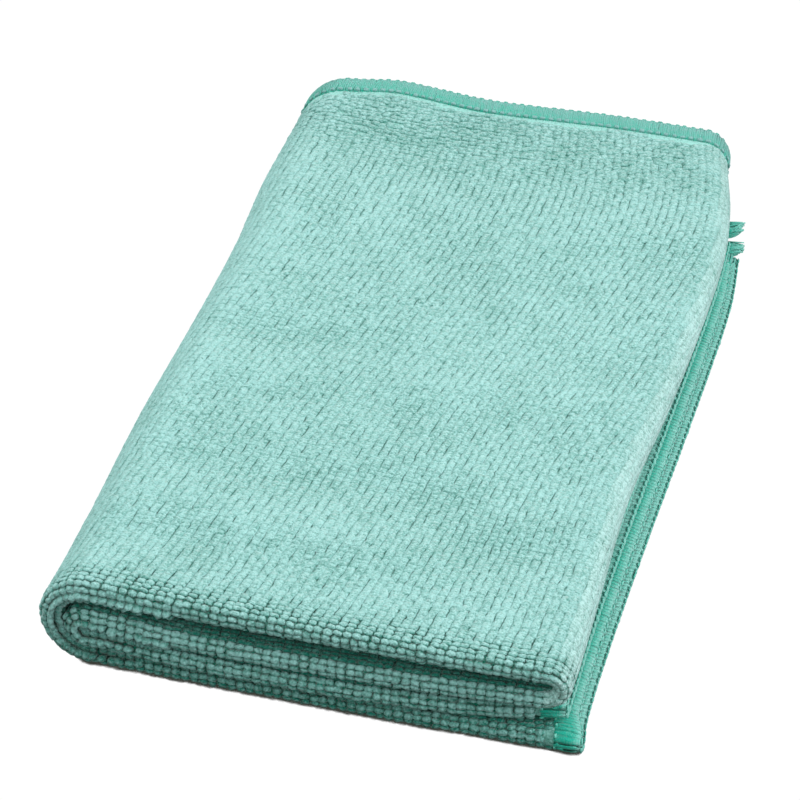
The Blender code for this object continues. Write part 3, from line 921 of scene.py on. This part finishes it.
# ---- The overlocked edge ----------------------------------------------------------------
# A band of soft, bulky green thread all round the cloth. Strands of thread wrap the edge,
# four fine ones to a stitch at the far hems and two bulky ones at the side hems, with rows
# of knots on the very edge, at the inner line and, on the side hems, underneath.
# One thread all round: its colours at the side hems are paler and greener, painted as lit more brightly
# than at the far hems, and its deep colours stand for painted shade.
HEM_LIGHT, HEM_DEEP = (0.285, 0.450, 0.465), (0.010, 0.480, 0.350)
SIDE_HEM_LIGHT, SIDE_HEM_DEEP = (0.315, 0.590, 0.555), (0.016, 0.460, 0.355)
STITCH = 0.00176           # from stitch to stitch
STRAND_RISE = 0.00009      # how far the middle of a strand stands out from its two sides
END_RISE = 0.3             # the share of that at its ends
WRAP = (
    # along a strand: from the edge, height above the middle of the sheet
    (0.0051, 0.00040), (0.0044, 0.00066), (0.0028, 0.00078), (0.0014, 0.00074),
    (0.0004, 0.00052), (-0.0003, 0.0), (0.0005, -0.00055), (0.0024, -0.00066),
)
# Painted shade on the threads at the rows of WRAP: at the far hems deep next to the pile and on the
# very edge, at the side hems deep inland, under the fold above, and pale on the rounded edge.
FAR_DEPTH = (0.8, 0.45, 0.35, 0.25, 0.2, 0.9, 0.5, 0.5)
SIDE_DEPTH = (1.0, 1.0, 1.0, 0.75, 0.2, 0.15, 0.2, 0.3)
SEAM_SHADE = 0.08          # how much deeper the colour is along a strand's sides
# Places of the strands in a stitch, their width, and how deep their painted shade is at the rows of
# WRAP.
FINE_STRANDS = (-0.00066, -0.00024, 0.00022, 0.00064), 0.00060, FAR_DEPTH
BULKY_STRANDS = (-0.00046, 0.00042), 0.00132, SIDE_DEPTH
# How much one strand differs from the next.
STRAND_SLANT, STRAND_WIDTH, RISE_JITTER, STRAND_SWAY = 0.03, 0.07, 0.14, 0.00003
STRAND_SHADE = 0.0, 0.10
FAR_EDGES = ("first_far", "second_far")
SIDE_EDGES = ("bottom_side", "lower_side")
FAR_KNOTS = (
    # from edge, height, half length, half width, half height, depth: painted shade, or painted light
    # below 0
    (0.0000, 0.0, 0.00062, 0.00048, 0.00042, 0.0),
    (0.0045, 0.00064, 0.00056, 0.00042, 0.00044, -0.3),
)
SIDE_KNOTS = (
    (0.0000, 0.0, 0.00074, 0.00048, 0.00042, 0.0),
    (0.0046, 0.00064, 0.00050, 0.00036, 0.00038, 0.35),
    (0.0000, -0.00058, 0.00072, 0.00036, 0.00034, 0.1),
)
KNOT_SWAY, KNOT_SIZE, KNOT_SHADE = 0.00008, 0.10, (0.0, 0.12)     # how much knots differ
KNOT_SIDE_SHADE = 0.6      # how much deeper the colour is at a knot's foot
EDGE_STEP = 0.0004         # the step along or off an edge over which its directions are taken
KNOT_STEP = 0.0015         # the same for the way a knot on the very edge points
EDGE_SAMPLES = 3001
LANES = 8                  # strands one after the other in a row of the map
LANE_ALONG, LANE_SIDES = (0.02, 0.98), (0.1, 0.5, 0.9)

fine_thread, lit_side_thread = (
    fibre_material(name, light, light, deepest, fibre_size=3600.0, drift=0.4, bump=0.5, sheen=0.12)
    for name, light, deepest in (
        ("fine_thread", HEM_LIGHT, HEM_DEEP), ("lit_side_thread", SIDE_HEM_LIGHT, SIDE_HEM_DEEP),
    )
)


def edge_points(edge, along, inland):
    """chain and run of places near one of the four edges, by distance along and from it."""
    if edge in FAR_EDGES:
        layer = FIRST if edge == "first_far" else SECOND
        return along, layer * (reach(along, layer) - inland)
    shares = inland / PANEL_LENGTH
    return (shares if edge == "bottom_side" else END - shares), along


def stitch_places(edge):
    """Evenly spaced places along an edge, a stitch apart."""
    if edge in FAR_EDGES:
        along = np.linspace(0.0, END, EDGE_SAMPLES)
    else:
        chain = float(BOTTOM if edge == "bottom_side" else END)
        along = np.linspace(-reach(chain, FIRST), reach(chain, SECOND), EDGE_SAMPLES)
    line = fold(*edge_points(edge, along, 0.0))
    distance = np.append(0.0, np.cumsum(np.linalg.norm(np.diff(line, axis=0), axis=1)))
    count = int(distance[-1] / STITCH)
    places = (np.arange(count) + 0.5) * distance[-1] / count
    return places, distance, along


def near_edge(edge, along, inland, height):
    """Points near an edge; what lies outside it goes straight on from the sheet."""
    along, inland, height = np.broadcast_arrays(along, inland, height)
    point, _, _, outward = frame_on(*edge_points(edge, along, np.maximum(inland, 0.0)))
    further_in = fold(*edge_points(edge, along, np.maximum(inland, 0.0) + EDGE_STEP))
    off_edge = unit(point - further_in)
    past = np.maximum(-inland, 0.0)
    return point + outward * height[..., None] + off_edge * past[..., None]


def tube_faces(count, steps, sides):
    """Faces of a number of closed tubes, each of so many rings of points."""
    ring = np.arange(count * steps * sides).reshape(count, steps, sides)
    following = np.roll(ring, -1, axis=2)
    walls = np.stack([ring[:, :-1], following[:, :-1], following[:, 1:], ring[:, 1:]], axis=-1)
    return [*walls.reshape(-1, 4).tolist(), *ring[:, 0, ::-1].tolist(), *ring[:, -1].tolist()]


def strand_piece(name, edges, strands, thread):
    """The wrapping strands of some edges: each a three-sided thread, pointed at its ends."""
    strand_places, strand_width, wrap_depth = strands
    all_points, all_uv, all_depth = [], [], []
    steps = len(WRAP)
    inland, height = np.array(WRAP).T
    rise_share = np.array([END_RISE] + [1.0] * (steps - 2) + [END_RISE])
    seam_depth = np.array((SEAM_SHADE, 0.0, SEAM_SHADE))
    for edge in edges:
        places, distance, along = stitch_places(edge)
        centres = (places[:, None] + np.array(strand_places)[None]).reshape(-1)
        count = len(centres)
        slant = dice.normal(0.0, STRAND_SLANT, count)
        wide = strand_width / 2.0 * dice.normal(1.0, STRAND_WIDTH, count)
        rise = STRAND_RISE * dice.normal(1.0, RISE_JITTER, count)
        sway = dice.normal(0.0, STRAND_SWAY, (count, steps))
        middle = centres[:, None] + slant[:, None] * (inland - HEM_WIDTH / 2.0)[None] + sway
        lines = []
        for side, lift in ((-1.0, 0.0), (0.0, 1.0), (1.0, 0.0)):
            at = np.interp(middle + side * wide[:, None], distance, along)
            lifted = rise[:, None] * rise_share * lift
            reach_in = inland - np.where(height == 0.0, lifted, 0.0)
            lines.append(near_edge(edge, at, reach_in, height + np.sign(height) * lifted))
        all_points.append(np.stack(lines, axis=2))             # count, steps, 3 sides, xyz
        own = dice.uniform(*STRAND_SHADE, count)
        all_depth.append(np.array(wrap_depth)[None, :, None] + seam_depth + own[:, None, None])
        lane = np.arange(count)[:, None, None]
        across = (lane % LANES + np.linspace(*LANE_ALONG, steps)[None, :, None]) / LANES
        up = (lane // LANES + np.array(LANE_SIDES)) / (count / LANES + 1.0)
        up = (up + len(all_uv)) / len(edges)
        all_uv.append(np.stack(np.broadcast_arrays(across, up), axis=-1).reshape(-1, 2))
    points, values = np.concatenate(all_points), {"depth": np.concatenate(all_depth)}
    faces = tube_faces(len(points), steps, 3)
    return make_piece(name, points, faces, thread, np.concatenate(all_uv), values)


def knot_piece(name, edges, rows, thread):
    """Rows of knots along some edges, each a copy of the loop's pillow."""
    all_points, all_depth = [], []
    x, y, z = loop[0].T
    for edge in edges:
        places, distance, along = stitch_places(edge)
        count = len(places)
        for inland, height, long, wide, high, deepness in rows:
            at = np.interp(places + dice.normal(0.0, KNOT_SWAY, count), distance, along)
            ahead = np.interp(places + EDGE_STEP, distance, along)
            centre = near_edge(edge, at, inland, height)
            along_way = unit(near_edge(edge, ahead, inland, height) - centre)
            if inland <= 0.0:                       # a knot on the very edge points off it
                up_way = unit(centre - near_edge(edge, at, KNOT_STEP, height))
            else:
                up_way = frame_on(*edge_points(edge, at, inland))[3] * np.sign(height)
            side_way = np.cross(up_way, along_way)
            size = dice.normal(1.0, KNOT_SIZE, (count, 3))
            all_points.append(
                centre[:, None]
                + along_way[:, None] * (x[None] * long * size[:, :1])[..., None]
                + side_way[:, None] * (y[None] * wide * size[:, 1:2])[..., None]
                + up_way[:, None] * (z[None] * high * size[:, 2:])[..., None]
            )
            own = dice.uniform(*KNOT_SHADE, count)
            all_depth.append((1.0 - z)[None] * KNOT_SIDE_SHADE + own[:, None] + deepness)
    values = {"depth": np.concatenate(all_depth)}
    return pillow_piece(name, np.concatenate(all_points), loop, thread, values)


overlock = [
    strand_piece("overlock_far", FAR_EDGES, FINE_STRANDS, fine_thread),
    strand_piece("overlock_sides", SIDE_EDGES, BULKY_STRANDS, lit_side_thread),
    knot_piece("knots_far", FAR_EDGES, FAR_KNOTS, fine_thread),
    knot_piece("knots_sides", SIDE_EDGES, SIDE_KNOTS, lit_side_thread),
]

# ---- The thread tails -------------------------------------------------------------------
# At the two far right corners the overlock's threads run off the cloth and are snipped
# short, so that they fray into a small fan.
TAILS = (
    # root on the corner, tip
    ((0.0462, 0.0668, 0.0082), (0.0495, 0.0682, 0.0090)),
    ((0.0466, 0.0664, 0.0036), (0.0500, 0.0674, 0.0038)),
)
TAIL_THREADS = 80
TAIL_SIDES = 4
TAIL_STEPS = 5
ROOT_SPREAD = (0.0001, 0.0010, 0.0008)    # how far apart the threads' roots lie
TIP_SPREAD = (0.0002, 0.0003, 0.0003)     # how much further apart their tips lie
ROOTS_AT_TIP = 0.55        # the share of the roots' spread that their tips have as well
FURTHEST = 1.5             # no thread lies further out than this many times the spread
SHORTEST = 0.62            # the shortest thread's share of the way to the tip
THREAD_RADIUS = 0.00022, 0.00034
THREAD_TAPER = 0.45
THREAD_BEND = 0.0003
ROOT_DEPTH, TIP_DEPTH = 0.45, 0.35        # how deep the colour is at the root, over the tip's


def tail_piece(name):
    """The frayed ends: single threads from root to tip, each bent a little its own way."""
    points, uv = [], []
    share = np.linspace(0.0, 1.0, TAIL_STEPS)[:, None, None]
    bow = np.sin(math.pi * share)
    turn = np.arange(TAIL_SIDES)[:, None] / TAIL_SIDES
    angle = 2.0 * math.pi * turn
    for root, tip in TAILS:
        root, tip = np.array(root), np.array(tip)
        for k in range(TAIL_THREADS):
            spread = np.clip(dice.normal(0.0, 1.0, 3), -FURTHEST, FURTHEST) * ROOT_SPREAD
            fan = np.clip(dice.normal(0.0, 1.0, 3), -FURTHEST, FURTHEST) * TIP_SPREAD
            way = (tip - root) * dice.uniform(SHORTEST, 1.0)
            start, end = root + spread, root + way + fan + ROOTS_AT_TIP * spread
            heading = unit(end - start)
            side = unit(np.cross(heading, (0.0, 0.0, 1.0)))
            rise = np.cross(side, heading)
            radius = dice.uniform(*THREAD_RADIUS) * (1.0 - THREAD_TAPER * share)
            bend = dice.normal(0.0, THREAD_BEND, 2)
            line = start + (end - start) * share + (side * bend[0] + rise * bend[1]) * bow
            points.append(line + radius * (side * np.cos(angle) + rise * np.sin(angle)))
            uv.append(np.stack(np.broadcast_arrays((k + turn) / TAIL_THREADS, share), axis=-1))
    depth = np.broadcast_to(TIP_DEPTH + ROOT_DEPTH * (1.0 - share), (len(points), *uv[0].shape[:2], 1))
    faces = tube_faces(len(points), TAIL_STEPS, TAIL_SIDES)
    return make_piece(name, points, faces, lit_side_thread, np.reshape(uv, (-1, 2)), {"depth": depth})


tails = tail_piece("thread_tails")
